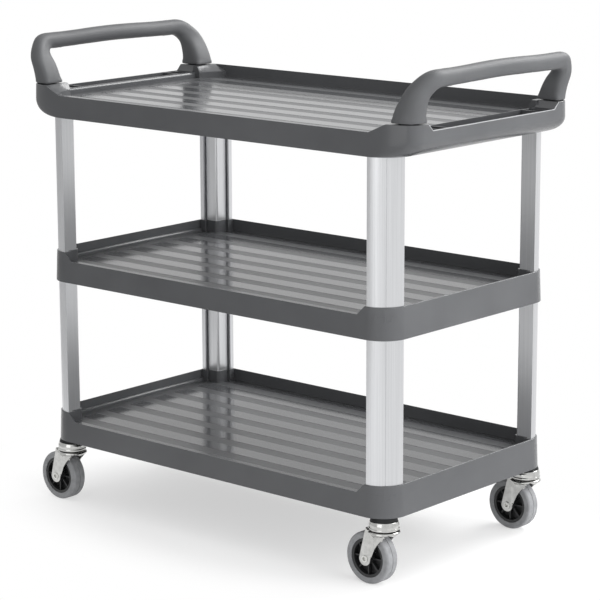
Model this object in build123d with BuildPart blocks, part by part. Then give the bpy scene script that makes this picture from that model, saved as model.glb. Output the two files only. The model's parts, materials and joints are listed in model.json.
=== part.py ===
from build123d import *
import os
from math import cos, radians, sin, sqrt

# Service cart: three moulded trays on aluminium corner columns, two push handles and four swivel casters.
# Millimetres, +Z up. The origin is on the floor under the middle of the cart, +X runs along its length
# and the low front lips of the trays face -Y.

# Overall sizes
tray_length = 887.0
tray_width = 500.0
tray_height = 61.0
shelf_pitch = 333.0
end_overhang = 49.0
handle_overhang = 23.5
handle_rise = 97.2

# Tray walls and floor
corner_margin = 2.0
tray_flare = 2.5
tray_wall = 2.8
floor_under = 33.0
floor_top = 36.0
lip_height = 44.0
lip_width = 12.0
ledge_width = 8.0
ledge_round = 5.0
rim_round = 1.5
rib_wall = 3.0
rib_recess = 3.0
rib_rows = 5
rib_columns = 9
room_corner = 56.0

# Raised bands on the tray floors
band_count = 6
band_pitch = 68.0
band_width = 38.6
band_height = 0.3
band_slope = 45.0
band_margin = 30.0

# Corner columns, measured inward from the outer corner of the section
column_inset = 2.4
column_round = 48.0
strip_depth = 9.7
groove_end = 12.7
groove_floor = 36.0
column_inner = 41.3
column_nose = 5.0
column_wall = 2.4
column_mark = 0.7
rod_inset = 27.0
rod_boss = 8.0
socket_fit = 0.2
socket_wall = 3.0
web_level = 20.0
web_thickness = 6.0

# Tie rods and their fittings
rod_diameter = 10.0
rod_clearance = 0.3
thread_fit = 0.05
nut_across = 17.0
insert_diameter = 17.0
insert_cover = 2.0
rod_end_gap = 1.0

# Ends of the top tray
end_corner_radius = 34.0
front_bow_radius = 125.0
front_bow_turn = 25.0
foot_corner_turn = 2.0
end_rise = 32.0
end_start = 6.0
end_steps = 5
end_wall = 3.5
ridge_height = 48.0
ridge_wall = 7.0
ridge_round = 5.5
trough_width = 42.0
trough_end = 66.0
trough_edge = 48.5
trough_step = 13.0
trough_rib_insets = (16.0, 44.0)
block_length = 56.5
block_width = 62.0
block_ramp = 7.0
top_lip_slope = 38.0

# Handles
bar_diameter = 33.0
bar_bow = 3.0
bar_flat = 0.5
grip_steps = 4
leg_steps = 4
bend_steps = 4
foot_reveal = 1.8
foot_length = 52.0
foot_width = 46.0
foot_edge_x = 1.5
foot_edge_y = 8.0
foot_round = 32.0
leg_round = 7.0
inner_lean_power = 1.5
outer_lean_power = 2.0
soften_power = 3.0
bend_inner = 20.0
spigot_length = 28.0
spigot_width = 24.0
spigot_depth = 22.0
spigot_fit = 0.2
handle_screw_diameter = 6.0
handle_screw_head = 11.0
handle_screw_head_height = 4.0
handle_screw_bite = 16.0
screw_floor = 24.0

# Wheels
wheel_diameter = 100.0
tyre_width = 30.0
tyre_depth = 12.5
tyre_round = 4.5
tread_groove_width = 1.2
tread_groove_depth = 1.0
hub_side_inset = 1.5
hub_rim = 5.5
hub_web = 4.0
hub_boss = 12.0
boss_side_gap = 2.0
spoke_count = 8
spoke_width = 3.0
spoke_recess = 3.0
bush_wall = 2.0
bush_proud = 0.7
axle_diameter = 10.0
running_gap = 0.05
axle_head = 14.0
axle_head_height = 1.8
axle_recess = 7.0
axle_recess_depth = 4.0
axle_nut_across = 15.0
axle_nut_height = 5.0
axle_end = 2.0

# Forks and swivel heads
wheel_trail = 28.0
crown_gap = 4.0
fork_sheet = 3.0
fork_side_gap = 4.0
crown_radius = 30.5
crown_edge = 4.0
bell_drop = 17.0
bell_bow = 2.0
leg_width = 26.0
leg_back_lean = 15.0
leg_horn = 4.0
horn_gap = 1.0
swage_x = 11.5
swage_radius = 14.0
swage_depth = 1.5
swage_foot = 6.0
front_sweep_x = 17.0
front_sweep_drop = 9.0
front_sweep_bow = 3.0
front_wall = 5.0
race_gap = 2.0
cup_radius = 29.0
cup_top_radius = 27.0
cup_height = 17.0
cup_bead = 5.0
cup_bead_step = 1.2
cup_shoulder = 3.0
cup_bulge = 1.0
cup_wall = 2.2
ball_count = 16
ball_diameter = 6.0
ball_gap = 0.15
ball_ring = 20.5
stem_diameter = 12.0
stem_bite = 12.0
kingpin_head = 20.0
kingpin_head_height = 3.5
swivel_gap = 0.3
collar_foot = 26.0
collar_brim = 23.6
collar_neck = 17.0
collar_height = 28.0
collar_fit = 0.4
collar_bore_gap = 0.6

# Heights of the stack above the floor
wheel_radius = wheel_diameter / 2
crown_under = wheel_diameter + crown_gap
crown_top = crown_under + fork_sheet
cup_base = crown_top + race_gap
cup_top = cup_base + cup_height
web_under = cup_top + collar_height
bottom_base = web_under - web_level
middle_base = bottom_base + shelf_pitch
top_base = middle_base + shelf_pitch
column_length = shelf_pitch - web_thickness
block_top = top_base + tray_height
foot_level = block_top + foot_reveal

# Places in plan
top_length = tray_length + 2 * end_overhang
handle_reach = top_length / 2 + handle_overhang
tray_corner = column_round + corner_margin
column_x = tray_length / 2 - column_inset
column_y = tray_width / 2 - column_inset
post_x = column_x - rod_inset
post_y = column_y - rod_inset
socket_edge = column_round + socket_wall
lip_half = column_x - socket_edge - (tray_height - lip_height)
trough_outer = top_length / 2 - end_wall
trough_inner = trough_outer - trough_width
ridge_inner = trough_inner - ridge_wall
trough_half = tray_width / 2 - trough_end
block_inner_x = top_length / 2 - block_length
block_inner_y = tray_width / 2 - block_width
end_foot = tray_length / 2 + tray_flare
top_lip_half = block_inner_x - top_lip_slope
foot_x = top_length / 2 - foot_edge_x - foot_length / 2
foot_y = tray_width / 2 - foot_edge_y - foot_width / 2
fork_inner = tyre_width / 2 + fork_side_gap
fork_outer = fork_inner + fork_sheet
hub_width = tyre_width - 2 * hub_side_inset
hub_boss_width = 2 * (fork_inner - boss_side_gap)
insert_length = floor_top - insert_cover - web_level
insert_top = top_base + web_level + insert_length
rod_bottom = web_under - stem_bite
rod_top = insert_top - rod_end_gap
sides = (-1, 1)
corner_names = {
    "front_left": (-1, -1),
    "front_right": (1, -1),
    "rear_left": (-1, 1),
    "rear_right": (1, 1),
}
posts = [(side_x * post_x, side_y * post_y) for side_x, side_y in corner_names.values()]
feet = [(side_x * foot_x, side_y * foot_y) for side_x, side_y in corner_names.values()]

os.makedirs("parts", exist_ok=True)


def save(part, name):
    part.label = name
    export_step(part, f"parts/{name}.step")


def upright(x, y, z):
    # A plane facing -Y with its origin at a point: its own axes run along +X and +Z
    return Plane(origin=(x, y, z), x_dir=(1, 0, 0), z_dir=(0, -1, 0))


def level(x, y, z):
    return Plane(origin=(x, y, z))


def from_corner(side_x, side_y, along, across):
    # A point measured inward from the outer corner of one column
    return (side_x * (column_x - along), side_y * (column_y - across))


def socket_outlines(grow):
    # The four column outlines without their grooves, grown all round by a fit or a wall
    apex = column_round - (column_round + grow) / sqrt(2)
    strip = column_round + grow
    notch = groove_end + grow
    body_start = groove_end - grow
    body_end = column_inner + grow
    nose = column_inner - column_nose
    nose_middle = nose + (column_nose + grow) / sqrt(2)
    with BuildSketch() as outlines:
        for side_x, side_y in corner_names.values():
            shell = [from_corner(side_x, side_y, along, across) for along, across in (
                (-grow, column_round), (apex, apex), (column_round, -grow), (strip, -grow),
                (strip, notch), (groove_floor, notch), (notch, groove_floor), (notch, strip), (-grow, strip))]
            with BuildLine():
                ThreePointArc(*shell[:3])
                Polyline(*shell[2:], shell[0])
            make_face()
            body = [from_corner(side_x, side_y, along, across) for along, across in (
                (body_end, nose), (nose_middle, nose_middle), (nose, body_end),
                (body_start, body_end), (body_start, body_start), (body_end, body_start))]
            with BuildLine():
                ThreePointArc(*body[:3])
                Polyline(*body[2:], body[0])
            make_face()
    return outlines.sketch


def column_section(side_x, side_y):
    # Quarter-round outside, two end strips, a groove behind each strip and an inner body with a rounded nose
    def at(along, across):
        return from_corner(side_x, side_y, along, across)

    apex = column_round - column_round / sqrt(2)
    nose = column_inner - column_nose
    nose_middle = nose + column_nose / sqrt(2)
    half = [(column_round, 0), (column_round, strip_depth), (groove_floor, strip_depth),
            (groove_floor, groove_end), (column_inner, groove_end), (column_inner, nose)]
    other_half = [(across, along) for along, across in reversed(half)]
    core = groove_floor - column_wall
    body = (groove_end + column_wall, column_inner - column_wall)
    with BuildSketch() as chamber:
        with Locations(at(column_round, column_round)):
            Circle(column_round - column_wall)
        Polygon(at(0, 0), at(core, 0), at(core, core), at(0, core), align=None, mode=Mode.INTERSECT)
        Polygon(*[at(along, across) for along, across in (
            (body[0], body[0]), (body[1], body[0]), (body[1], body[1]), (body[0], body[1]))], align=None)
        with Locations(at(rod_inset, rod_inset)):
            Circle(rod_boss, mode=Mode.SUBTRACT)
            Rectangle(2 * column_round, column_wall, rotation=45, mode=Mode.SUBTRACT)
            Rectangle(2 * column_round, column_wall, rotation=-45, mode=Mode.SUBTRACT)
    with BuildSketch() as section:
        with BuildLine():
            ThreePointArc(at(0, column_round), at(apex, apex), at(column_round, 0))
            Polyline(*[at(along, across) for along, across in half])
            ThreePointArc(at(*half[-1]), at(nose_middle, nose_middle), at(*other_half[0]))
            Polyline(*[at(along, across) for along, across in other_half])
        make_face()
        add(chamber.sketch, mode=Mode.SUBTRACT)
        with Locations(at(rod_inset, rod_inset)):
            Circle(rod_diameter / 2 + rod_clearance, mode=Mode.SUBTRACT)
        with Locations(at(apex, apex)):
            Circle(column_mark, mode=Mode.SUBTRACT)
    return section.sketch


def column(side_x, side_y, base):
    with BuildPart() as post:
        with BuildSketch(Plane.XY.offset(base)):
            add(column_section(side_x, side_y))
        extrude(amount=column_length)
    return post.part


def floor_bands(length):
    with BuildSketch() as bands:
        with GridLocations(0, band_pitch, 1, band_count):
            Rectangle(length - 2 * band_margin, band_width)
    return bands.sketch


def ribbed_room(length, width):
    # The space under a tray floor, divided by the stiffening ribs
    with BuildSketch() as room:
        RectangleRounded(length, width, room_corner)
        with GridLocations(length / (rib_columns + 1), 0, rib_columns, 1):
            Rectangle(rib_wall, width, mode=Mode.SUBTRACT)
        with GridLocations(0, width / (rib_rows + 1), 1, rib_rows):
            Rectangle(length, rib_wall, mode=Mode.SUBTRACT)
        add(socket_outlines(socket_wall), mode=Mode.SUBTRACT)
    return room.sketch


def plain_room(length, width):
    with BuildSketch() as room:
        RectangleRounded(length, width, room_corner)
        add(socket_outlines(socket_wall), mode=Mode.SUBTRACT)
    return room.sketch


def rounded_edge(side, x, top, radius):
    # What is left out, in section, where an upstand facing the middle of a tray has its top edge rounded
    knee = radius * (1 - cos(radians(45)))
    with BuildSketch() as edge:
        with BuildLine():
            ThreePointArc((side * x, top - radius), (side * (x + knee), top - knee),
                          (side * (x + radius), top))
            Polyline((side * (x + radius), top), (side * (x + radius), top + radius),
                     (side * (x - radius), top + radius), (side * (x - radius), top - radius),
                     (side * x, top - radius))
        make_face()
    return edge.sketch


def collar_recesses():
    with BuildSketch() as recesses:
        with Locations(*posts):
            Circle(collar_neck + collar_fit)
    return recesses.sketch


def shelf_tray(base, under_pockets):
    # Middle or bottom tray: they differ only in what the corner sockets take from below
    inner_length = tray_length - 2 * tray_wall
    inner_width = tray_width - 2 * tray_wall
    recess_width = tray_width - lip_width - tray_wall
    with BuildPart() as tray:
        with BuildSketch(Plane.XY.offset(base)):
            RectangleRounded(tray_length + 2 * tray_flare, tray_width + 2 * tray_flare,
                             tray_corner + tray_flare)
        with BuildSketch(Plane.XY.offset(base + tray_height)):
            RectangleRounded(tray_length, tray_width, tray_corner)
        loft(ruled=True)
        fillet(tray.edges().group_by(Axis.Z)[-1], rim_round)
        # Room above the floor: up to the ledges and the front lip, then up to the rim
        with BuildSketch(Plane.XY.offset(base + floor_top)):
            with Locations((0, (lip_width - tray_wall) / 2)):
                Rectangle(tray_length - 2 * ledge_width, recess_width)
            add(socket_outlines(socket_wall), mode=Mode.SUBTRACT)
        extrude(amount=tray_height, mode=Mode.SUBTRACT)
        with BuildSketch(Plane.XY.offset(base + lip_height)):
            Rectangle(inner_length, inner_width)
            add(socket_outlines(socket_wall), mode=Mode.SUBTRACT)
        extrude(amount=tray_height, mode=Mode.SUBTRACT)
        # Rounded edges of the ledges between the corner sockets
        for side in sides:
            with BuildSketch(upright(0, 0, base)):
                add(rounded_edge(side, tray_length / 2 - ledge_width, lip_height, ledge_round))
            extrude(amount=column_y - socket_edge, both=True, mode=Mode.SUBTRACT)
        # Low front lip with a slope up to each corner
        with BuildSketch(Plane.XZ.offset(tray_width / 2 - lip_width)):
            with BuildLine():
                Polyline((-lip_half, base + lip_height), (lip_half, base + lip_height),
                         (lip_half + tray_height - lip_height, base + tray_height),
                         (lip_half + tray_height - lip_height, base + 2 * tray_height),
                         (-lip_half - tray_height + lip_height, base + 2 * tray_height),
                         (-lip_half - tray_height + lip_height, base + tray_height), close=True)
            make_face()
        extrude(amount=lip_width + 2 * tray_flare, mode=Mode.SUBTRACT)
        # Ribbed underside
        with BuildSketch(Plane.XY.offset(base)):
            add(plain_room(inner_length, inner_width))
        extrude(amount=rib_recess, mode=Mode.SUBTRACT)
        with BuildSketch(Plane.XY.offset(base + rib_recess)):
            add(ribbed_room(inner_length, inner_width))
        extrude(amount=floor_under - rib_recess, mode=Mode.SUBTRACT)
        # Corner sockets above and below the web, and the tie rod holes through it
        with BuildSketch(Plane.XY.offset(base + web_level + web_thickness)):
            add(socket_outlines(socket_fit))
        extrude(amount=tray_height, mode=Mode.SUBTRACT)
        with BuildSketch(Plane.XY.offset(base)):
            add(under_pockets)
        extrude(amount=web_level, mode=Mode.SUBTRACT)
        with BuildSketch(Plane.XY.offset(base)):
            with Locations(*posts):
                Circle(rod_diameter / 2 + rod_clearance)
        extrude(amount=tray_height, mode=Mode.SUBTRACT)
        # Raised bands along the floor
        with BuildSketch(Plane.XY.offset(base + floor_top)):
            add(floor_bands(tray_length))
        extrude(amount=band_height, taper=band_slope)
    return tray.part


def trough_profile(side):
    # Section of one end trough, following the rounded end of the top tray
    knee_x = end_foot + (trough_outer - end_foot) * cos(radians(45))
    knee_z = end_rise - (end_rise - end_wall) * sin(radians(45))
    with BuildSketch() as profile:
        with BuildLine():
            Polyline((side * trough_inner, end_wall), (side * trough_inner, 2 * tray_height),
                     (side * trough_outer, 2 * tray_height), (side * trough_outer, end_rise))
            ThreePointArc((side * trough_outer, end_rise), (side * knee_x, knee_z),
                          (side * trough_inner, end_wall))
        make_face()
    return profile.sketch


def top_outline(half_length, half_width, corner, turn):
    # Long sides bow in gently towards each end, through one turn, before the tighter corner
    half_turn = radians(turn / 2)
    rest = radians((90 - turn) / 2)
    bow_length = front_bow_radius * sin(radians(turn))
    bow_depth = front_bow_radius * (1 - cos(radians(turn)))
    bow_start = half_length - corner * (1 - sin(radians(turn))) - bow_length
    end_half = half_width - bow_depth - corner * cos(radians(turn))
    start = (bow_start, half_width)
    bow_middle = (bow_start + front_bow_radius * sin(half_turn),
                  half_width - front_bow_radius * (1 - cos(half_turn)))
    joint = (bow_start + bow_length, half_width - bow_depth)
    corner_middle = (half_length - corner * (1 - cos(rest)), end_half + corner * sin(rest))
    end = (half_length, end_half)
    with BuildSketch() as outline:
        with BuildLine():
            for side_x, side_y in corner_names.values():
                places = [(side_x * x, side_y * y) for x, y in (start, bow_middle, joint, corner_middle, end)]
                ThreePointArc(*places[:3])
                ThreePointArc(*places[2:])
            for side in sides:
                Line((-bow_start, side * half_width), (bow_start, side * half_width))
                Line((side * half_length, -end_half), (side * half_length, end_half))
        make_face()
    return outline.sketch


def top_shell():
    # Outside of the top tray: the plan of the lower trays at its foot, rolling out to the full length
    with BuildPart() as shell:
        start = radians(end_start)
        for step in range(end_steps + 1):
            angle = start + (radians(90) - start) * step / end_steps
            share = (sin(angle) - sin(start)) / (1 - sin(start))
            rise = end_rise * (1 - cos(angle) / cos(start))
            flare = tray_flare * (1 - rise / tray_height)
            corner = tray_corner + tray_flare + (end_corner_radius - tray_corner - tray_flare) * share
            turn = foot_corner_turn + (front_bow_turn - foot_corner_turn) * share
            half_length = end_foot + (top_length / 2 - end_foot) * share
            with BuildSketch(level(0, 0, top_base + rise)):
                add(top_outline(half_length, tray_width / 2 + flare, corner, turn))
        loft()
        for rise in (end_rise, tray_height):
            flare = tray_flare * (1 - rise / tray_height)
            with BuildSketch(level(0, 0, top_base + rise)):
                add(top_outline(top_length / 2, tray_width / 2 + flare, end_corner_radius, front_bow_turn))
        loft(ruled=True)
        fillet(shell.edges().group_by(Axis.Z)[-1], rim_round)
    return shell.part


def ramp_section(side, run):
    # One end of a ramp that climbs from the height of the end ridge to the top of a corner block
    return [(side * x, z) for x, z in (
        (block_inner_x + ridge_wall, floor_under), (block_inner_x - run, floor_under),
        (block_inner_x - run, ridge_height), (block_inner_x, tray_height),
        (block_inner_x + ridge_wall, tray_height))]


def top_tray():
    inner_width = tray_width - 2 * tray_wall
    recess_width = tray_width - lip_width - tray_wall
    lip_ramp = top_lip_slope * (tray_height - ridge_height) / (tray_height - lip_height)
    block_place = [(side_x * (block_inner_x + block_length / 2),
                    side_y * (block_inner_y + block_width / 2))
                   for side_x, side_y in corner_names.values()]
    with BuildPart() as tray:
        add(top_shell())
        # Room above the floor, inside the end ridges, then over the ridges between the corner blocks
        with BuildSketch(Plane.XY.offset(top_base + floor_top)):
            with Locations((0, (lip_width - tray_wall) / 2)):
                Rectangle(2 * ridge_inner, recess_width)
            with Locations(*block_place):
                Rectangle(block_length, block_width, mode=Mode.SUBTRACT)
        extrude(amount=tray_height, mode=Mode.SUBTRACT)
        with BuildSketch(Plane.XY.offset(top_base + ridge_height)):
            Rectangle(2 * trough_inner, inner_width)
            with Locations(*block_place):
                Rectangle(block_length, block_width, mode=Mode.SUBTRACT)
        extrude(amount=tray_height, mode=Mode.SUBTRACT)
        for side in sides:
            with BuildSketch(upright(0, 0, top_base)):
                add(rounded_edge(side, ridge_inner, ridge_height, ridge_round))
            extrude(amount=block_inner_y, both=True, mode=Mode.SUBTRACT)
        # Ramps up to the corner blocks, long beside the outer wall and short beside the ridge
        for side_x, side_y in corner_names.values():
            for across, run in ((inner_width / 2, lip_ramp), (block_inner_y, block_ramp)):
                with BuildSketch(upright(0, side_y * across, top_base)):
                    Polygon(*ramp_section(side_x, run), align=None)
            loft(ruled=True)
        # Low front lip with a long slope up to each corner block
        with BuildSketch(Plane.XZ.offset(tray_width / 2 - lip_width)):
            with BuildLine():
                Polyline((-top_lip_half, top_base + lip_height), (top_lip_half, top_base + lip_height),
                         (top_lip_half + top_lip_slope, block_top),
                         (top_lip_half + top_lip_slope, block_top + tray_height),
                         (-top_lip_half - top_lip_slope, block_top + tray_height),
                         (-top_lip_half - top_lip_slope, block_top), close=True)
            make_face()
        extrude(amount=lip_width + 2 * tray_flare, mode=Mode.SUBTRACT)
        # End troughs, their low outer walls and their cross ribs
        for side in sides:
            with BuildSketch(upright(0, 0, top_base)):
                add(trough_profile(side))
            extrude(amount=trough_half, both=True, mode=Mode.SUBTRACT)
            with BuildSketch(Plane.YZ.offset(side * trough_inner)):
                with BuildLine():
                    Polyline((-trough_half, top_base + trough_edge),
                             (trough_half, top_base + trough_edge),
                             (trough_half + trough_step, block_top),
                             (-trough_half - trough_step, block_top), close=True)
                make_face()
            extrude(amount=side * top_length, mode=Mode.SUBTRACT)
            for rib_inset in trough_rib_insets:
                for rib_side in sides:
                    with BuildSketch(upright(0, rib_side * (trough_half - rib_inset), top_base)):
                        add(trough_profile(side))
                        with Locations((0, trough_edge + 2 * tray_height)):
                            Rectangle(2 * top_length, 4 * tray_height, mode=Mode.SUBTRACT)
                    extrude(amount=rib_wall / 2, both=True)
        # Ribbed underside
        with BuildSketch(Plane.XY.offset(top_base)):
            add(plain_room(2 * ridge_inner, inner_width))
        extrude(amount=rib_recess, mode=Mode.SUBTRACT)
        with BuildSketch(Plane.XY.offset(top_base + rib_recess)):
            add(ribbed_room(2 * ridge_inner, inner_width))
        extrude(amount=floor_under - rib_recess, mode=Mode.SUBTRACT)
        # Column sockets from below, with the holes for the threaded inserts in their roofs
        with BuildSketch(Plane.XY.offset(top_base)):
            add(socket_outlines(socket_fit))
        extrude(amount=web_level, mode=Mode.SUBTRACT)
        with BuildSketch(Plane.XY.offset(top_base)):
            with Locations(*posts):
                Circle(insert_diameter / 2)
        extrude(amount=web_level + insert_length, mode=Mode.SUBTRACT)
        # Handle sockets in the corner blocks and the screw holes under them
        with BuildSketch(Plane.XY.offset(block_top)):
            with Locations(*feet):
                Rectangle(spigot_length + 2 * spigot_fit, spigot_width + 2 * spigot_fit)
        extrude(amount=-spigot_depth - spigot_fit, mode=Mode.SUBTRACT)
        with BuildSketch(Plane.XY.offset(top_base)):
            with Locations(*feet):
                Circle(handle_screw_diameter / 2 + rod_clearance)
        extrude(amount=tray_height, mode=Mode.SUBTRACT)
        with BuildSketch(Plane.XY.offset(top_base)):
            with Locations(*feet):
                Circle(handle_screw_head / 2 + rod_clearance)
        extrude(amount=screw_floor, mode=Mode.SUBTRACT)
        # Raised bands along the floor
        with BuildSketch(Plane.XY.offset(top_base + floor_top)):
            add(floor_bands(2 * ridge_inner))
        extrude(amount=band_height, taper=band_slope)
    return tray.part


def handle_outline(length, depth, soft, outer_soft):
    # Four-cornered section of the handle with its own rounding at the outermost corner
    corners = ((1, 1, outer_soft), (-1, 1, soft), (-1, -1, soft), (1, -1, soft))
    arcs = []
    for along, across, radius in corners:
        inset = radius * (1 - cos(radians(45)))
        on_end = (along * length / 2, across * (depth / 2 - radius))
        on_side = (along * (length / 2 - radius), across * depth / 2)
        middle = (along * (length / 2 - inset), across * (depth / 2 - inset))
        arcs.append((on_end, middle, on_side) if along == across else (on_side, middle, on_end))
    with BuildSketch() as outline:
        with BuildLine():
            for arc, following in zip(arcs, arcs[1:] + arcs[:1]):
                ThreePointArc(*arc)
                Line(arc[2], following[0])
        make_face()
    return outline.sketch


def handle_sections(side):
    # Sections from the rear foot, round its bend, along the grip and down round the front bend to its foot
    grip_inner_x = handle_reach - bar_diameter
    foot_inner_x = foot_x - foot_length / 2
    foot_outer_x = foot_x + foot_length / 2
    bend_height = handle_rise - bar_bow - bar_diameter - bend_inner
    bend_y = foot_y - foot_width / 2 - bend_inner
    grip_level = bend_height + bend_inner + bar_diameter / 2
    bar_soft = bar_diameter / 2 - bar_flat
    sections = []

    def section(turn, middle_y, middle_z, depth):
        rise = min(1.0, middle_z / grip_level)
        inner_x = foot_inner_x + (grip_inner_x - foot_inner_x) * rise ** inner_lean_power
        outer_x = foot_outer_x + (handle_reach - foot_outer_x) * rise ** outer_lean_power
        soft = leg_round + (bar_soft - leg_round) * rise ** soften_power
        outer_soft = foot_round + (bar_soft - foot_round) * rise
        plane = Plane(origin=(side * (inner_x + outer_x) / 2, middle_y, foot_level + middle_z),
                      x_dir=(side, 0, 0),
                      z_dir=(0, -side * sin(radians(turn)), side * cos(radians(turn))))
        sections.append((plane, handle_outline(outer_x - inner_x, depth, soft, outer_soft)))

    def bend(turn, middle_y, share):
        depth = foot_width + (bar_diameter - foot_width) * share
        reach = bend_inner + depth / 2
        section(turn, middle_y + reach * cos(radians(turn)), bend_height + reach * sin(radians(turn)), depth)

    leg_levels = [bend_height * step / leg_steps for step in range(leg_steps + 1)]
    shares = [(step + 1) / bend_steps for step in range(bend_steps)]
    straight_run = bend_inner / 2
    for leg_level in leg_levels:
        section(0, foot_y, leg_level, foot_width)
    for share in shares:
        bend(90 * share, bend_y, share)
    section(90, bend_y - straight_run, grip_level, bar_diameter)
    grip_places = [1 - step / (grip_steps / 2) for step in range(grip_steps + 1)]
    grip_end = bend_y - bend_inner
    for place in grip_places:
        bow = bar_bow * (1 + cos(radians(180 * place))) / 2
        section(90, grip_end * place, grip_level + bow, bar_diameter)
    section(90, straight_run - bend_y, grip_level, bar_diameter)
    for share in reversed(shares):
        bend(180 - 90 * share, -bend_y, share)
    for leg_level in reversed(leg_levels):
        section(180, -foot_y, leg_level, foot_width)
    return sections


def handle(side):
    foot_places = [(side * foot_x, side_y * foot_y) for side_y in sides]
    sections = handle_sections(side)
    leg_count = (len(sections) - grip_steps + 1) // 2
    with BuildPart() as grip:
        # Rear leg, front leg and the grip between them, each skinned over its own sections
        for first, last in ((0, leg_count), (len(sections) - leg_count, len(sections)),
                            (leg_count - 1, len(sections) - leg_count + 1)):
            for plane, outline in sections[first:last]:
                with BuildSketch(plane):
                    add(outline)
            loft()
        # Spigots that drop into the corner blocks, with a pilot hole for the screw from below
        with BuildSketch(level(0, 0, block_top - spigot_depth)):
            with Locations(*foot_places):
                Rectangle(spigot_length, spigot_width)
        extrude(amount=spigot_depth + foot_reveal)
        with BuildSketch(level(0, 0, block_top - spigot_depth)):
            with Locations(*foot_places):
                Circle(handle_screw_diameter / 2 + thread_fit)
        extrude(amount=handle_screw_bite + rod_end_gap, mode=Mode.SUBTRACT)
    return grip.part


def handle_screws():
    seat = top_base + screw_floor
    tip = block_top - spigot_depth + handle_screw_bite
    with BuildPart() as screws:
        with BuildSketch(level(0, 0, seat - handle_screw_head_height)):
            with Locations(*feet):
                Circle(handle_screw_head / 2)
        extrude(amount=handle_screw_head_height)
        with BuildSketch(level(0, 0, seat)):
            with Locations(*feet):
                Circle(handle_screw_diameter / 2)
        extrude(amount=tip - seat)
        with BuildSketch(level(0, 0, seat - handle_screw_head_height)):
            with Locations(*feet):
                RegularPolygon(handle_screw_diameter / 2, 6, major_radius=True)
        extrude(amount=handle_screw_head_height / 2, mode=Mode.SUBTRACT)
    return screws.part


def tie_rods():
    with BuildPart() as rods:
        with BuildSketch(level(0, 0, rod_bottom)):
            with Locations(*posts):
                Circle(rod_diameter / 2)
        extrude(amount=rod_top - rod_bottom)
        chamfer(rods.edges().filter_by(GeomType.CIRCLE), rod_end_gap)
    return rods.part


def coupling_nuts():
    # The upper half of each nut takes a tie rod and the lower half a caster stem
    with BuildPart() as nuts:
        with BuildSketch(level(0, 0, web_under)):
            with Locations(*posts):
                RegularPolygon(nut_across / 2, 6, major_radius=False)
                Circle(rod_diameter / 2 + thread_fit, mode=Mode.SUBTRACT)
        extrude(amount=-stem_bite)
        with BuildSketch(level(0, 0, web_under - stem_bite)):
            with Locations(*posts):
                RegularPolygon(nut_across / 2, 6, major_radius=False)
                Circle(stem_diameter / 2 + thread_fit, mode=Mode.SUBTRACT)
        extrude(amount=-stem_bite)
    return nuts.part


def threaded_inserts():
    with BuildPart() as inserts:
        with BuildSketch(level(0, 0, top_base + web_level)):
            with Locations(*posts):
                Circle(insert_diameter / 2 - thread_fit)
                Circle(rod_diameter / 2 + thread_fit, mode=Mode.SUBTRACT)
        extrude(amount=insert_length)
    return inserts.part


def stem(x, y):
    # Threaded above, plain where the fork turns on it, with a riveted head below the fork
    head_top = crown_under - swivel_gap
    with BuildPart() as pin:
        with BuildSketch(level(x, y, head_top - kingpin_head_height)):
            Circle(kingpin_head / 2)
        extrude(amount=kingpin_head_height)
        fillet(pin.edges().group_by(Axis.Z)[0], kingpin_head_height / 2)
        with BuildSketch(level(x, y, head_top)):
            Circle(stem_diameter / 2)
        extrude(amount=rod_bottom - rod_end_gap - head_top)
        chamfer(pin.edges().group_by(Axis.Z)[-1], rod_end_gap)
    return pin.part


def collar(x, y):
    # Cone that shows under the tray, with a neck that fills the socket above it
    bore = nut_across / sqrt(3) + collar_bore_gap
    brim_top = bottom_base - collar_fit
    with BuildPart() as sleeve:
        with BuildSketch(upright(x, y, 0)):
            with BuildLine():
                Polyline((bore, cup_top), (collar_foot, cup_top), (collar_brim, brim_top),
                         (collar_neck, brim_top), (collar_neck, web_under), (bore, web_under), close=True)
            make_face()
        revolve(axis=Axis((x, y, 0), (0, 0, 1)))
    return sleeve.part


def swivel_cup(x, y):
    # Pressed cup with a rolled bead at its foot, a swollen side and a rounded shoulder, hollow for the balls
    bore = stem_diameter / 2 + thread_fit
    waist = cup_radius - cup_bead_step
    track_top = crown_top + 2 * ball_gap + ball_diameter
    track_inner = ball_ring - ball_diameter / 2 - cup_wall
    track_outer = waist - cup_wall
    knee = cup_shoulder * (1 - cos(radians(45)))
    bulge = ((waist + cup_top_radius) / 2 + cup_bulge, (cup_base + cup_bead + cup_top - cup_shoulder) / 2)
    with BuildPart() as cup:
        with BuildSketch(upright(x, y, 0)):
            with BuildLine():
                ThreePointArc((waist, cup_base), (cup_radius, cup_base + cup_bead / 2),
                              (waist, cup_base + cup_bead))
                ThreePointArc((waist, cup_base + cup_bead), bulge, (cup_top_radius, cup_top - cup_shoulder))
                ThreePointArc((cup_top_radius, cup_top - cup_shoulder),
                              (cup_top_radius - knee, cup_top - knee),
                              (cup_top_radius - cup_shoulder, cup_top))
                Polyline((cup_top_radius - cup_shoulder, cup_top), (bore, cup_top), (bore, cup_base),
                         (track_inner, cup_base), (track_inner, track_top), (track_outer, track_top),
                         (track_outer, cup_base), (waist, cup_base))
            make_face()
        revolve(axis=Axis((x, y, 0), (0, 0, 1)))
    return cup.part


def bearing_balls(x, y):
    with BuildPart() as balls:
        with Locations((x, y, crown_top + ball_gap + ball_diameter / 2)):
            with PolarLocations(ball_ring, ball_count):
                Sphere(ball_diameter / 2)
    return balls.part


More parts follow.
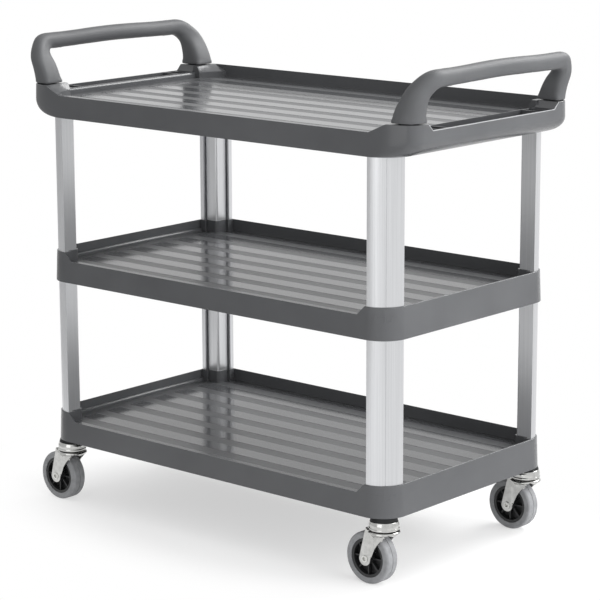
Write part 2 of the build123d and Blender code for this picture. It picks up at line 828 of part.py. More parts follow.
def fork(x, y):
    back = -wheel_trail - leg_width / 2
    front = -wheel_trail + leg_width / 2
    bell_foot = crown_top - bell_drop
    knee = crown_edge * (1 - cos(radians(45)))
    sweep_end = (front_sweep_x, crown_top - front_sweep_drop)
    sweep_middle = ((front + front_sweep_x) / 2 - front_sweep_bow,
                    (wheel_radius + sweep_end[1]) / 2 + front_sweep_bow)
    slot_front = crown_radius - front_wall
    slot_back = 2 * wheel_diameter
    with BuildPart() as yoke:
        # Round crown whose sides draw in to the legs
        with BuildSketch(upright(x, y, 0)):
            with BuildLine():
                Polyline((fork_outer, bell_foot), (0, bell_foot), (0, crown_top),
                         (crown_radius - crown_edge, crown_top))
                ThreePointArc((crown_radius - crown_edge, crown_top),
                              (crown_radius - knee, crown_top - knee),
                              (crown_radius, crown_top - crown_edge))
                ThreePointArc((crown_radius, crown_top - crown_edge),
                              ((crown_radius + fork_outer) / 2 - bell_bow,
                               (crown_top - crown_edge + bell_foot) / 2),
                              (fork_outer, bell_foot))
            make_face()
        revolve(axis=Axis((x, y, 0), (0, 0, 1)))
        # Legs, swept forward into the crown and rounded at the axle
        with BuildSketch(upright(x, y, 0)):
            with BuildLine():
                Polyline((back, wheel_radius), (back + leg_back_lean, crown_top + leg_horn),
                         (back + leg_back_lean + leg_horn, crown_top), (front_sweep_x, crown_top), sweep_end)
                ThreePointArc(sweep_end, sweep_middle, (front, wheel_radius))
                ThreePointArc((front, wheel_radius), (-wheel_trail, wheel_radius - leg_width / 2),
                              (back, wheel_radius))
            make_face()
        extrude(amount=fork_outer, both=True)
        # Room for the cup between the horns at the top of the legs
        with BuildSketch(level(x, y, crown_top)):
            Circle(cup_radius + horn_gap)
        extrude(amount=leg_horn, mode=Mode.SUBTRACT)
        # Shallow groove pressed down the outside of each leg
        with BuildSketch(level(x, y, wheel_radius + swage_foot)):
            with Locations(*[(-swage_x, side * (fork_outer + swage_radius - swage_depth)) for side in sides]):
                Circle(swage_radius)
        extrude(amount=bell_foot - wheel_radius - swage_foot, mode=Mode.SUBTRACT)
        # Slot for the wheel
        with BuildSketch(level(x, y, 0)):
            with Locations(((slot_front - slot_back) / 2, 0)):
                Rectangle(slot_front + slot_back, 2 * fork_inner)
        extrude(amount=crown_under, mode=Mode.SUBTRACT)
        # Holes for the kingpin and the axle
        with BuildSketch(level(x, y, 0)):
            Circle(stem_diameter / 2 + running_gap)
        extrude(amount=cup_base, mode=Mode.SUBTRACT)
        with BuildSketch(upright(x - wheel_trail, y, wheel_radius)):
            Circle(axle_diameter / 2 + thread_fit)
        extrude(amount=wheel_diameter, both=True, mode=Mode.SUBTRACT)
    return yoke.part


def axle(x, y):
    # Hollow-ended axle: its flat head shows on the front side of the fork
    with BuildPart() as pin:
        with BuildSketch(upright(x - wheel_trail, y - fork_outer, wheel_radius)):
            Circle(axle_head / 2)
        extrude(amount=axle_head_height)
        fillet(pin.edges().group_by(Axis.Y)[0], axle_head_height / 2)
        with BuildSketch(upright(x - wheel_trail, y - fork_outer, wheel_radius)):
            Circle(axle_diameter / 2)
        extrude(amount=-2 * fork_outer - axle_nut_height - axle_end)
        with BuildSketch(upright(x - wheel_trail, y - fork_outer - axle_head_height, wheel_radius)):
            Circle(axle_recess / 2)
        extrude(amount=-axle_recess_depth, mode=Mode.SUBTRACT)
    return pin.part


def axle_nut(x, y):
    with BuildPart() as nut:
        with BuildSketch(upright(x - wheel_trail, y + fork_outer, wheel_radius)):
            RegularPolygon(axle_nut_across / 2, 6, major_radius=False)
            Circle(axle_diameter / 2 + thread_fit, mode=Mode.SUBTRACT)
        extrude(amount=-axle_nut_height)
    return nut.part


def bush(x, y):
    with BuildPart() as sleeve:
        with BuildSketch(upright(x - wheel_trail, y, wheel_radius)):
            Circle(axle_diameter / 2 + running_gap + bush_wall)
            Circle(axle_diameter / 2 + running_gap, mode=Mode.SUBTRACT)
        extrude(amount=hub_boss_width / 2 + bush_proud, both=True)
    return sleeve.part


def hub(x, y):
    rim_outer = wheel_radius - tyre_depth - thread_fit
    rim_inner = rim_outer - hub_rim
    spoke_length = rim_outer - hub_rim / 2 - hub_boss / 2
    middle = upright(x - wheel_trail, y, wheel_radius)
    with BuildPart() as wheel:
        with BuildSketch(middle):
            Circle(rim_outer)
            Circle(rim_inner, mode=Mode.SUBTRACT)
        extrude(amount=hub_width / 2, both=True)
        with BuildSketch(middle):
            Circle(rim_outer - hub_rim / 2)
        extrude(amount=hub_web / 2, both=True)
        with BuildSketch(middle):
            Circle(hub_boss)
        extrude(amount=hub_boss_width / 2, both=True)
        with BuildSketch(middle):
            with PolarLocations(hub_boss / 2 + spoke_length / 2, spoke_count):
                Rectangle(spoke_length, spoke_width)
        extrude(amount=hub_width / 2 - spoke_recess, both=True)
        with BuildSketch(middle):
            Circle(axle_diameter / 2 + running_gap + bush_wall + thread_fit)
        extrude(amount=hub_boss_width, both=True, mode=Mode.SUBTRACT)
    return wheel.part


def tyre(x, y):
    middle = upright(x - wheel_trail, y, wheel_radius)
    with BuildPart() as ring:
        with BuildSketch(middle):
            Circle(wheel_radius)
            Circle(wheel_radius - tyre_depth, mode=Mode.SUBTRACT)
        extrude(amount=tyre_width / 2, both=True)
        fillet(ring.edges().filter_by(GeomType.CIRCLE).group_by(SortBy.RADIUS)[-1], tyre_round)
        with BuildSketch(middle):
            Circle(wheel_radius + tread_groove_depth)
            Circle(wheel_radius - tread_groove_depth, mode=Mode.SUBTRACT)
        extrude(amount=tread_groove_width / 2, both=True, mode=Mode.SUBTRACT)
    return ring.part


save(shelf_tray(bottom_base, collar_recesses()), "bottom_tray")
save(shelf_tray(middle_base, socket_outlines(socket_fit)), "middle_tray")
save(top_tray(), "top_tray")
save(handle(-1), "left_handle")
save(handle(1), "right_handle")
save(handle_screws(), "handle_screws")
save(tie_rods(), "tie_rods")
save(coupling_nuts(), "coupling_nuts")
save(threaded_inserts(), "threaded_inserts")
caster_pieces = {
    "stem": stem,
    "collar": collar,
    "swivel_cup": swivel_cup,
    "bearing_balls": bearing_balls,
    "fork": fork,
    "axle": axle,
    "axle_nut": axle_nut,
    "bush": bush,
    "hub": hub,
    "tyre": tyre,
}
for corner, (side_x, side_y) in corner_names.items():
    save(column(side_x, side_y, bottom_base + web_level + web_thickness), f"{corner}_lower_column")
    save(column(side_x, side_y, middle_base + web_level + web_thickness), f"{corner}_upper_column")
    for piece, make in caster_pieces.items():
        save(make(side_x * post_x, side_y * post_y), f"{corner}_{piece}")
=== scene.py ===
import bpy
import bmesh
import json
import math
from mathutils import Matrix, Vector

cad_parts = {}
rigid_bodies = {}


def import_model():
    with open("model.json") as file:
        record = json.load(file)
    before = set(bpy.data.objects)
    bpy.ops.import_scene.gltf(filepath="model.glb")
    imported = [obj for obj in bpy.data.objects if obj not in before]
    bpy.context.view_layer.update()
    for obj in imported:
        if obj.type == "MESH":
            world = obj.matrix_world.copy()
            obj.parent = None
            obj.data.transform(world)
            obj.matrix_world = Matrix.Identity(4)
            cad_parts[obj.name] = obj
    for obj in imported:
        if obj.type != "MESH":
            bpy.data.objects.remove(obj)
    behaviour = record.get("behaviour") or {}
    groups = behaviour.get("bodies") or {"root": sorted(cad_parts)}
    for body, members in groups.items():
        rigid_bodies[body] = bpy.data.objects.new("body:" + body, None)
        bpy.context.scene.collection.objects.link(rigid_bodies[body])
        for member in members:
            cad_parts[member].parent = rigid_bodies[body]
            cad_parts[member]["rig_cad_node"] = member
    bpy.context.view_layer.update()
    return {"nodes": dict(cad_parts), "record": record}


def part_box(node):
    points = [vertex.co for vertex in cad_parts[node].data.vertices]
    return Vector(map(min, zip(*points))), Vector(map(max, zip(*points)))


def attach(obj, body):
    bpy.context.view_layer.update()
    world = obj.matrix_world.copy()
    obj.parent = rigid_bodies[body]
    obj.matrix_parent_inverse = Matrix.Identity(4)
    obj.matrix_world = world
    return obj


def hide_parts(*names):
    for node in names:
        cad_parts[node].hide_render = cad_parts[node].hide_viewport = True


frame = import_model()
nodes = frame["nodes"]
bodies = frame["record"]["behaviour"]["bodies"]
bodyOfNode = {node: body for body, members in bodies.items() for node in members}
slotOfNode = {row["node"]: row["material_slot"] for row in frame["record"]["subparts"]}
print("frame loaded with", len(nodes), "nodes")


def hexColour(text):  # sRGB hex to the linear colour that the shaders take
    channels = [int(text[i:i + 2], 16) / 255 for i in (1, 3, 5)]
    linear = [c / 12.92 if c <= 0.04045 else ((c + 0.055) / 1.055) ** 2.4 for c in channels]
    return (*linear, 1.0)


def addNode(tree, kind, inputs=None, links=None, **settings):
    node = tree.nodes.new(kind)
    for name, value in settings.items():
        setattr(node, name, value)
    for name, value in (inputs or {}).items():
        node.inputs[name].default_value = value
    for name, (source, output) in (links or {}).items():
        tree.links.new(source.outputs[output], node.inputs[name])
    return node


def addMath(tree, operation, *values):  # each value is a number, or a node with its output
    numbers = {i: value for i, value in enumerate(values) if not isinstance(value, tuple)}
    sources = {i: value for i, value in enumerate(values) if isinstance(value, tuple)}
    return addNode(tree, "ShaderNodeMath", numbers, sources, operation=operation)


def addFade(tree, value, start, end, low, high):  # a soft change from low to high
    return addNode(tree, "ShaderNodeMapRange",
                   {"From Min": start, "From Max": end, "To Min": low, "To Max": high},
                   {"Value": value}, interpolation_type="SMOOTHSTEP")


def addNoise(tree, place, size, detail):  # blotches of about this size, in metres
    return addNode(tree, "ShaderNodeTexNoise", {"Scale": 1 / size, "Detail": detail},
                   {"Vector": (place, "Object")})


def addLines(tree, place, look):  # noise drawn out along Z into fine lines
    across, along = 1 / look["lineAcross"], 1 / look["lineAlong"]
    stretch = addNode(tree, "ShaderNodeMapping", {"Scale": (across, across, along)},
                      {"Vector": (place, "Object")})
    return addNode(tree, "ShaderNodeTexNoise", {"Scale": 1.0, "Detail": look["lineDetail"]},
                   {"Vector": (stretch, "Vector")})


# Noise seldom leaves this range, so a tint runs from dark to light across it
noiseStops = (0.3, 0.7)


def addTint(tree, pattern, look):
    ramp = addNode(tree, "ShaderNodeValToRGB", links={"Fac": (pattern, "Fac")})
    first, last = ramp.color_ramp.elements
    first.position, last.position = look.get("stops", noiseStops)
    first.color, last.color = hexColour(look["dark"]), hexColour(look["light"])
    return ramp


def addGloss(tree, pattern, roughness):
    return addNode(tree, "ShaderNodeMapRange", {"To Min": roughness[0], "To Max": roughness[1]},
                   {"Value": (pattern, "Fac")})


def startMaterial(name, metallic=0.0):
    material = bpy.data.materials.new(name)
    material.use_nodes = True
    tree = material.node_tree
    shader = tree.nodes["Principled BSDF"]
    shader.inputs["Metallic"].default_value = metallic
    place = addNode(tree, "ShaderNodeTexCoord")
    return material, tree, shader, place


# Tint and gloss each follow a pattern, and so does the relief where a material has one
def dressShader(tree, shader, look, tintFrom, glossFrom, reliefFrom=None):
    tint = addTint(tree, tintFrom, look)
    gloss = addGloss(tree, glossFrom, look["roughness"])
    tree.links.new(tint.outputs["Color"], shader.inputs["Base Color"])
    tree.links.new(gloss.outputs["Result"], shader.inputs["Roughness"])
    if reliefFrom is not None:
        relief = addNode(tree, "ShaderNodeBump", {"Distance": look["depth"]}, {"Height": (reliefFrom, "Fac")})
        tree.links.new(relief.outputs["Normal"], shader.inputs["Normal"])


# Injection moulded polypropylene: dark neutral grey with satin walls. The floor bands are polished brighter
# than the finely textured stripes between them, and the slow waviness of a large moulding moves every
# reflection. Here and below, a noise pattern is its size in metres and its detail.
trayLook = {
    "dark": "#444547", "light": "#4C4D4F", "cloud": (0.160, 3.0), "specular": 0.42,
    "wallRoughness": (0.20, 0.29), "bandRoughness": 0.13, "stripeRoughness": 0.36,
    "bandPitch": 0.068, "bandMiddle": 0.5, "bandHalf": 0.0190, "bandEnd": 0.4125,
    "firstTray": 0.134, "trayPitch": 0.333, "floorLevel": 0.0362, "floorReach": 0.0016,
    "floorHalf": (0.4385, 0.2475), "cornerReach": 0.62,
    "wave": (0.055, 1.0), "waveDepth": 0.00005, "grain": (0.0012, 2.0), "grainDepth": 0.00001,
    # the pale colour of the broken edges is a painted highlight
    "paintedEdgeHighlight": "#8E8F91", "paintedEdgeHighlightRoughness": 0.45,
}
trayPlastic, tree, shader, place = startMaterial("mouldedPolypropylene")
cloud = addNoise(tree, place, *trayLook["cloud"])
tint = addTint(tree, cloud, trayLook)
axes = addNode(tree, "ShaderNodeSeparateXYZ", links={0: (place, "Object")})
# one on the band tops: near the middle of each pitch across the tray, and short of the ends
bandCount = addMath(tree, "DIVIDE", (axes, "Y"), trayLook["bandPitch"])
bandShare = addMath(tree, "FRACT", (bandCount, 0))
onBand = addMath(tree, "COMPARE", (bandShare, 0), trayLook["bandMiddle"],
                 trayLook["bandHalf"] / trayLook["bandPitch"])
betweenEnds = addMath(tree, "COMPARE", (axes, "X"), 0.0, trayLook["bandEnd"])
# one at the height of each tray floor, inside the walls and clear of the round corners
fromFirst = addMath(tree, "SUBTRACT", (axes, "Z"), trayLook["firstTray"])
inTray = addMath(tree, "MODULO", (fromFirst, 0), trayLook["trayPitch"])
onFloor = addMath(tree, "COMPARE", (inTray, 0), trayLook["floorLevel"], trayLook["floorReach"])
withinEnds = addMath(tree, "COMPARE", (axes, "X"), 0.0, trayLook["floorHalf"][0])
withinWalls = addMath(tree, "COMPARE", (axes, "Y"), 0.0, trayLook["floorHalf"][1])
alongPart = addMath(tree, "ABSOLUTE", (axes, "X"))
acrossPart = addMath(tree, "ABSOLUTE", (axes, "Y"))
towardsCorner = addMath(tree, "ADD", (alongPart, 0), (acrossPart, 0))
offCorner = addMath(tree, "LESS_THAN", (towardsCorner, 0), trayLook["cornerReach"])
for mask in (withinWalls, withinEnds, offCorner):
    onFloor = addMath(tree, "MULTIPLY", (onFloor, 0), (mask, 0))
polished = addMath(tree, "MULTIPLY", (onBand, 0), (betweenEnds, 0))
polished = addMath(tree, "MULTIPLY", (polished, 0), (onFloor, 0))
wallGloss = addGloss(tree, cloud, trayLook["wallRoughness"])
floorGloss = addNode(tree, "ShaderNodeMix", {"B": trayLook["stripeRoughness"]},
                     {"Factor": (onFloor, 0), "A": (wallGloss, "Result")})
gloss = addNode(tree, "ShaderNodeMix", {"B": trayLook["bandRoughness"]},
                {"Factor": (polished, 0), "A": (floorGloss, "Result")})
# the broken edges are painted pale and dull: a painted highlight for the bright lines that the rounded rims
# catch
paintedHighlightMask = addNode(tree, "ShaderNodeAttribute", attribute_name="paintedEdgeHighlight")
tint = addNode(tree, "ShaderNodeMix", {"B": hexColour(trayLook["paintedEdgeHighlight"])},
               {"Factor": (paintedHighlightMask, "Fac"), "A": (tint, "Color")}, data_type="RGBA")
gloss = addNode(tree, "ShaderNodeMix", {"B": trayLook["paintedEdgeHighlightRoughness"]},
                {"Factor": (paintedHighlightMask, "Fac"), "A": (gloss, "Result")})
wave = addNoise(tree, place, *trayLook["wave"])
waveBump = addNode(tree, "ShaderNodeBump", {"Distance": trayLook["waveDepth"]}, {"Height": (wave, "Fac")})
grain = addNoise(tree, place, *trayLook["grain"])
grainBump = addNode(tree, "ShaderNodeBump", {"Distance": trayLook["grainDepth"]},
                    {"Height": (grain, "Fac"), "Normal": (waveBump, "Normal")})
shader.inputs["Specular IOR Level"].default_value = trayLook["specular"]
tree.links.new(tint.outputs["Result"], shader.inputs["Base Color"])
tree.links.new(gloss.outputs["Result"], shader.inputs["Roughness"])
tree.links.new(grainBump.outputs["Normal"], shader.inputs["Normal"])

# The handles' polypropylene has an eroded mould texture: a fine even grain that spreads the highlights wide.
# The grain is 0.5 mm, drawn three times as coarse to show.
handleLook = {"dark": "#444547", "light": "#4B4C4E", "cloud": (0.090, 3.0), "roughness": (0.52, 0.64),
              "grain": (0.0016, 2.0), "depth": 0.00006}
handlePlastic, tree, shader, place = startMaterial("grainedPolypropylene")
cloud = addNoise(tree, place, *handleLook["cloud"])
grain = addNoise(tree, place, *handleLook["grain"])
dressShader(tree, shader, handleLook, cloud, grain, grain)

# Extruded aluminium, satin anodised: pale silver with fine die lines along the length
columnLook = {"dark": "#CECFD1", "light": "#DCDDDF", "roughness": (0.30, 0.42),
              "lineAcross": 0.0011, "lineAlong": 0.300, "lineDetail": 3.0, "depth": 0.000006}
aluminium, tree, shader, place = startMaterial("anodisedAluminium", 1.0)
lines = addLines(tree, place, columnLook)
dressShader(tree, shader, columnLook, lines, lines, lines)

# Pressed steel with bright nickel plating: mirror-like, with the slight unevenness of the pressing
platedLook = {"dark": "#B8B8B6", "light": "#CACAC8", "roughness": (0.08, 0.17),
              "dent": (0.009, 2.0), "depth": 0.00004}
platedSteel, tree, shader, place = startMaterial("nickelPlatedSteel", 1.0)
dent = addNoise(tree, place, *platedLook["dent"])
dressShader(tree, shader, platedLook, dent, dent, dent)

# Zinc plating: paler and duller than the nickel, faintly clouded, with fine rolling lines
zincLook = {"dark": "#C8C8C5", "light": "#DADAD7", "cloud": (0.014, 4.0), "roughness": (0.26, 0.42),
            "lineAcross": 0.0008, "lineAlong": 0.045, "lineDetail": 2.0, "depth": 0.00001}
zincSteel, tree, shader, place = startMaterial("zincPlatedSteel", 1.0)
cloud = addNoise(tree, place, *zincLook["cloud"])
lines = addLines(tree, place, zincLook)
dressShader(tree, shader, zincLook, cloud, cloud, lines)

# Moulded grey rubber: matt, faintly mottled, with small scuffs
rubberLook = {"dark": "#717274", "light": "#818284", "mottle": (0.012, 4.0), "roughness": (0.55, 0.75),
              "scuff": (0.0022, 2.0), "depth": 0.00003}
tyreRubber, tree, shader, place = startMaterial("greyRubber")
mottle = addNoise(tree, place, *rubberLook["mottle"])
scuff = addNoise(tree, place, *rubberLook["scuff"])
dressShader(tree, shader, rubberLook, mottle, scuff, scuff)

# Black nylon and black polypropylene: both moulded, the nylon with a brighter sheen, each with a fine grain
# of 0.4 mm, drawn coarser to show
blackLook = {
    "mouldedNylon": {"dark": "#161718", "light": "#1C1D1E", "roughness": (0.42, 0.54), "specular": 0.5,
                     "grain": (0.0014, 3.0), "depth": 0.00003},
    "blackPolypropylene": {"dark": "#151617", "light": "#1B1C1D", "roughness": (0.42, 0.55), "specular": 0.2,
                           "grain": (0.0014, 3.0), "depth": 0.00003},
}
blackPlastic = {}
for name, look in blackLook.items():
    blackPlastic[name], tree, shader, place = startMaterial(name)
    grain = addNoise(tree, place, *look["grain"])
    shader.inputs["Specular IOR Level"].default_value = look["specular"]
    dressShader(tree, shader, look, grain, grain, grain)

# White acetal for the bushes, out of sight in the hubs: faintly clouded, with a soft sheen
acetalLook = {"dark": "#D2D2CC", "light": "#DEDED8", "cloud": (0.006, 2.0), "roughness": (0.35, 0.45)}
acetal, tree, shader, place = startMaterial("whiteAcetal")
cloud = addNoise(tree, place, *acetalLook["cloud"])
dressShader(tree, shader, acetalLook, cloud, cloud)

# Brass for the hidden inserts: yellow, with fine turning lines. The wave texture runs through 20 radians in
# each unit at a scale of one.
brassLook = {"dark": "#B8934A", "light": "#D0AE66", "stops": (0.2, 0.8), "roughness": (0.22, 0.36),
             "turning": 0.0012, "radiansPerUnit": 20, "waver": 0.4}
brass, tree, shader, place = startMaterial("turnedBrass", 1.0)
turning = addNode(tree, "ShaderNodeTexWave",
                  {"Scale": math.tau / brassLook["radiansPerUnit"] / brassLook["turning"],
                   "Distortion": brassLook["waver"]},
                  {"Vector": (place, "Object")}, bands_direction="Z")
dressShader(tree, shader, brassLook, turning, turning)

# Ground steel for the bearing balls: a bright even mirror
ballLook = {"dark": "#BDBDBB", "light": "#CBCBC9", "cloud": (0.003, 2.0), "roughness": (0.06, 0.12)}
ballSteel, tree, shader, place = startMaterial("groundSteel", 1.0)
cloud = addNoise(tree, place, *ballLook["cloud"])
dressShader(tree, shader, ballLook, cloud, cloud)

finishOfSlot = {
    "tray_plastic": trayPlastic, "handle_plastic": handlePlastic, "aluminium": aluminium,
    "collar_plastic": blackPlastic["blackPolypropylene"], "hub_plastic": blackPlastic["mouldedNylon"],
    "bush_plastic": acetal, "tyre_rubber": tyreRubber, "plated_steel": platedSteel, "zinc_steel": zincSteel,
    "ball_steel": ballSteel, "brass": brass,
}
for name, node in nodes.items():
    node.data.materials.clear()
    node.data.materials.append(finishOfSlot[slotOfNode[name]])
print("materials ready:", len(finishOfSlot))

# Each shape that shows gets its triangles joined, and its sharp edges broken so that they catch the light.
# Lengths are in metres and angles in degrees.
edgeSettings = {"join": 0.00001, "flat": 0.1, "sharp": 50.0, "smooth": 33.0, "segments": 2}


def finishPiece(name, *breaks):  # each break is a rounding and a test of where it goes
    bpy.ops.object.select_all(action="DESELECT")
    nodes[name].select_set(True)
    bpy.context.view_layer.objects.active = nodes[name]
    bpy.ops.object.duplicate()
    piece = bpy.context.active_object
    piece.name = name + ".finished"
    del piece["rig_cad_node"]
    bpy.ops.mesh.customdata_custom_splitnormals_clear()
    bpy.ops.object.mode_set(mode="EDIT")
    bpy.ops.mesh.select_mode(type="EDGE")
    bpy.ops.mesh.select_all(action="SELECT")
    bpy.ops.mesh.remove_doubles(threshold=edgeSettings["join"])
    bpy.ops.mesh.dissolve_limited(angle_limit=math.radians(edgeSettings["flat"]))
    bpy.ops.mesh.select_all(action="DESELECT")
    for rounding, where in breaks:
        mesh = bmesh.from_edit_mesh(piece.data)
        for edge in mesh.edges:
            sharp = edge.calc_face_angle() > math.radians(edgeSettings["sharp"])
            edge.select_set(sharp and all(where(corner.co) for corner in edge.verts))
        bmesh.update_edit_mesh(piece.data)
        bpy.ops.mesh.bevel(offset=rounding, segments=edgeSettings["segments"], affect="EDGES",
                           clamp_overlap=False)
        # the new faces are marked for the painted edge highlight that the trays' material shows
        mesh = bmesh.from_edit_mesh(piece.data)
        paintedEdgeHighlight = mesh.faces.layers.float.get("paintedEdgeHighlight") or mesh.faces.layers.float.new("paintedEdgeHighlight")
        for face in mesh.faces:
            face[paintedEdgeHighlight] = max(face[paintedEdgeHighlight], float(face.select))
    bpy.ops.object.mode_set(mode="OBJECT")
    bpy.ops.object.shade_smooth_by_angle(angle=math.radians(edgeSettings["smooth"]))
    flat = piece.modifiers.new("flatFaces", "WEIGHTED_NORMAL")
    flat.keep_sharp = True
    bpy.ops.object.modifier_apply(modifier="flatFaces")
    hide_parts(name)
    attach(piece, bodyOfNode[name])
    return piece


# The trays: edges above the floor, away from the corner sockets and the end troughs, and the troughs' rims
trayEdges = {"rounding": 0.0007, "overFoot": 0.039, "corner": (0.388, 0.185), "topCorner": (0.400, 0.185),
             "trough": 0.4455, "rimRounding": 0.0014, "rim": 0.4924, "rimFoot": 0.848, "rimTop": 0.8596}
for name in ("bottom_tray", "middle_tray", "top_tray"):
    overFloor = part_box(name)[0].z + trayEdges["overFoot"]
    cornerX, cornerY = trayEdges["topCorner" if name == "top_tray" else "corner"]
    insideEdge = (trayEdges["rounding"], lambda p: p.z > overFloor and abs(p.x) < trayEdges["trough"]
                  and not (abs(p.x) > cornerX and abs(p.y) > cornerY))
    troughRim = (trayEdges["rimRounding"], lambda p: abs(p.x) > trayEdges["rim"]
                 and trayEdges["rimFoot"] < p.z < trayEdges["rimTop"])
    finishPiece(name, insideEdge, troughRim)

# The handles: evened out above their feet, and more so inside the legs, so that the grip flows into them.
# Heights are over the top tray.
handleShape = {
    "voxel": 0.0016, "evening": 0.5,
    "allRound": {"from": 0.007, "to": 0.110, "rounds": 30},
    "insideLegs": {"from": 0.007, "to": 0.066, "rounds": 70},
}
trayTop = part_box("top_tray")[1].z
for name in ("left_handle", "right_handle"):
    handle = finishPiece(name)
    even = handle.modifiers.new("evenFaces", "REMESH")
    even.mode = "VOXEL"
    even.voxel_size = handleShape["voxel"]
    bpy.ops.object.modifier_apply(modifier="evenFaces")
    bpy.ops.object.mode_set(mode="EDIT")
    bpy.ops.mesh.select_mode(type="VERT")
    for part in ("allRound", "insideLegs"):
        reach = handleShape[part]
        mesh = bmesh.from_edit_mesh(handle.data)
        for corner in mesh.verts:
            inward = corner.normal.y * corner.co.y < 0
            inReach = reach["from"] < corner.co.z - trayTop < reach["to"]
            corner.select_set(inReach and (inward or part == "allRound"))
        mesh.select_flush_mode()
        bmesh.update_edit_mesh(handle.data)
        bpy.ops.mesh.vertices_smooth(factor=handleShape["evening"], repeat=reach["rounds"])
    bpy.ops.object.mode_set(mode="OBJECT")
    bpy.ops.object.shade_smooth_by_angle(angle=math.radians(edgeSettings["smooth"]))

# The corners: the roundings of their edges, and none on the columns, whose ends are out of sight
cornerEdges = {"stem": 0.0003, "collar": 0.0005, "swivel_cup": 0.0003, "axle": 0.0004, "axle_nut": 0.0003,
               "hub": 0.0004, "tyre": 0.0004}
legEdges = {"rounding": 0.0004, "belowCrown": 0.088}
for corner in ("front_left", "front_right", "rear_left", "rear_right"):
    for piece in ("lower_column", "upper_column"):
        finishPiece(f"{corner}_{piece}")
    for piece, rounding in cornerEdges.items():
        finishPiece(f"{corner}_{piece}", (rounding, lambda p: True))
    finishPiece(f"{corner}_fork", (legEdges["rounding"], lambda p: p.z < legEdges["belowCrown"]))
print("finished pieces ready")

# The side of the studio towards the front left is unlit; the cart's front and its metal mirror that
darkSide = {"way": (-0.766, -0.643, 0.0), "floorFrom": 0.75, "floorTo": 1.35, "skyFrom": 0.30, "skyTo": 0.80}

# White paper on the floor: a shadow under the cart paled by painted glow, and plain white beyond it for the
# eye and mirrors
# the floor's grey on the unlit side is painted shade, for mirrors and bounce
floorSettings = {"size": 40.0, "level": -0.0005, "colour": "#F2F2F2", "unlitSideShadeGrey": "#B4B4B4",
                 "roughness": 1.0, "specular": 0.0, "plain": "#FFFFFF", "plainLevel": 1.0,
                 "shadowReach": (0.72, 0.42), "shadowFull": 0.70, "shadowEnds": 1.15, "lift": 0.52}
bpy.ops.object.select_all(action="DESELECT")
bpy.ops.mesh.primitive_plane_add(size=floorSettings["size"], location=(0, 0, floorSettings["level"]))
floor = bpy.context.active_object
floor.name = "studioFloor"
bpy.ops.object.transform_apply(location=True)
paper, tree, shader, place = startMaterial("whitePaper")
shader.inputs["Roughness"].default_value = floorSettings["roughness"]
shader.inputs["Specular IOR Level"].default_value = floorSettings["specular"]
reachX, reachY = floorSettings["shadowReach"]
squeeze = addNode(tree, "ShaderNodeMapping", {"Scale": (1 / reachX, 1 / reachY, 0)},
                  {"Vector": (place, "Object")})
distance = addNode(tree, "ShaderNodeVectorMath", links={0: (squeeze, "Vector")}, operation="LENGTH")
fade = addFade(tree, (distance, "Value"), floorSettings["shadowFull"], floorSettings["shadowEnds"],
               floorSettings["lift"], 1.0)
# one on the paper, falling to nothing on the unlit side, where the floor is painted grey for its shade
aside = addNode(tree, "ShaderNodeVectorMath", {1: darkSide["way"]}, {0: (place, "Object")},
                operation="DOT_PRODUCT")
onPaper = addFade(tree, (aside, "Value"), darkSide["floorFrom"], darkSide["floorTo"], 1.0, 0.0)
ground = addNode(tree, "ShaderNodeMix",
                 {"A": hexColour(floorSettings["unlitSideShadeGrey"]), "B": hexColour(floorSettings["colour"])},
                 {"Factor": (onPaper, "Result")}, data_type="RGBA")
tree.links.new(ground.outputs["Result"], shader.inputs["Base Color"])
path = addNode(tree, "ShaderNodeLightPath")
mirrored = addMath(tree, "MAXIMUM", (path, "Is Glossy Ray"), (path, "Is Transmission Ray"))
mirrored = addMath(tree, "MULTIPLY", (mirrored, 0), (onPaper, "Result"))
seen = addMath(tree, "MAXIMUM", (mirrored, 0), (path, "Is Camera Ray"))
# near the cart the paper glows white at the lift's share, a painted light that pales the shadow
share = addMath(tree, "MULTIPLY", (fade, "Result"), (seen, 0))
plainWhite = addNode(tree, "ShaderNodeEmission", {"Color": hexColour(floorSettings["plain"]),
                                                  "Strength": floorSettings["plainLevel"]})
surface = addNode(tree, "ShaderNodeMixShader",
                  links={0: (share, 0), 1: (shader, "BSDF"), 2: (plainWhite, "Emission")})
tree.links.new(surface.outputs["Shader"], tree.nodes["Material Output"].inputs["Surface"])
floor.data.materials.append(paper)

# Soft studio light: a large softbox high at the back, one at the right, and a strip low at the front
lampSettings = {
    "backSoftbox": {"place": (1.2, 4.0, 4.0), "aim": (0, 0, 0.8), "size": (3.8, 2.4), "power": 260,
                    "mirrored": True},
    "rightSoftbox": {"place": (4.8, 0.6, 1.9), "aim": (0, 0, 0.5), "size": (4.6, 4.4), "power": 290,
                     "mirrored": False},
    "frontStrip": {"place": (0.6, -4.8, 1.3), "aim": (0, 0, 0.5), "size": (3.0, 2.8), "power": 32,
                   "mirrored": True},
}
for name, lampLook in lampSettings.items():
    bpy.ops.object.light_add(type="AREA", location=lampLook["place"])
    lamp = bpy.context.active_object
    lamp.name = name
    lamp.data.shape = "RECTANGLE"
    lamp.data.size, lamp.data.size_y = lampLook["size"]
    lamp.data.energy = lampLook["power"]
    lamp.visible_glossy = lampLook["mirrored"]
    shine = Vector(lampLook["aim"]) - Vector(lampLook["place"])
    lamp.rotation_euler = shine.to_track_quat("-Z", "Y").to_euler()

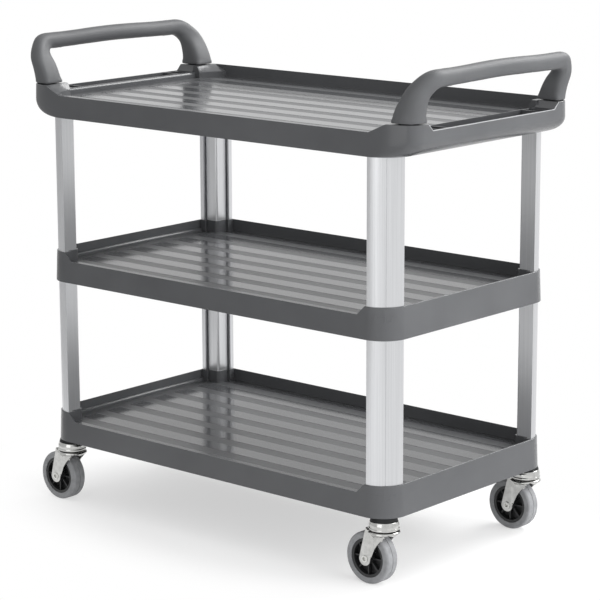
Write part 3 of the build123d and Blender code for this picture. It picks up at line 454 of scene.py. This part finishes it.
# White all round for the eye; for the light and for mirrors it dims towards the unlit side
worldSettings = {"colour": "#FFFFFF", "lit": 1.0, "unlit": 0.68, "seen": 1.0}
world = bpy.data.worlds.new("studio")
bpy.context.scene.world = world
world.use_nodes = True
tree = world.node_tree
way = addNode(tree, "ShaderNodeTexCoord")
aside = addNode(tree, "ShaderNodeVectorMath", {1: darkSide["way"]}, {0: (way, "Generated")},
                operation="DOT_PRODUCT")
sky = addFade(tree, (aside, "Value"), darkSide["skyFrom"], darkSide["skyTo"],
              worldSettings["lit"], worldSettings["unlit"])
path = addNode(tree, "ShaderNodeLightPath")
level = addNode(tree, "ShaderNodeMix", {"B": worldSettings["seen"]},
                {"Factor": (path, "Is Camera Ray"), "A": (sky, "Result")})
background = tree.nodes["Background"]
background.inputs["Color"].default_value = hexColour(worldSettings["colour"])
tree.links.new(level.outputs["Result"], background.inputs["Strength"])
print("floor, lamps and world ready")

# Camera at the photograph's viewing angle
cameraSettings = {"azimuth": 41.196, "elevation": 12.188, "roll": -0.181, "distance": 4.6995,
                  "pixels": 600, "focalPixels": 2364.5, "sensor": 36.0, "farthest": 200.0,
                  "aimRight": 0.01341, "aimHeight": 0.44392}
azimuth, elevation = math.radians(cameraSettings["azimuth"]), math.radians(cameraSettings["elevation"])
right = Vector((math.cos(azimuth), math.sin(azimuth), 0))
ahead = Vector((-math.sin(azimuth) * math.cos(elevation), math.cos(azimuth) * math.cos(elevation),
                -math.sin(elevation)))
aim = right * cameraSettings["aimRight"] + Vector((0, 0, cameraSettings["aimHeight"]))
bpy.ops.object.camera_add(location=aim - ahead * cameraSettings["distance"])
camera = bpy.context.active_object
camera.rotation_euler = (ahead.to_track_quat("-Z", "Y").to_matrix()
                         @ Matrix.Rotation(math.radians(cameraSettings["roll"]), 3, "Z")).to_euler()
camera.data.sensor_width = cameraSettings["sensor"]
camera.data.lens = cameraSettings["focalPixels"] * cameraSettings["sensor"] / cameraSettings["pixels"]
camera.data.clip_end = cameraSettings["farthest"]
bpy.context.scene.camera = camera
bpy.context.scene.view_settings.view_transform = "Standard"

print("camera set")
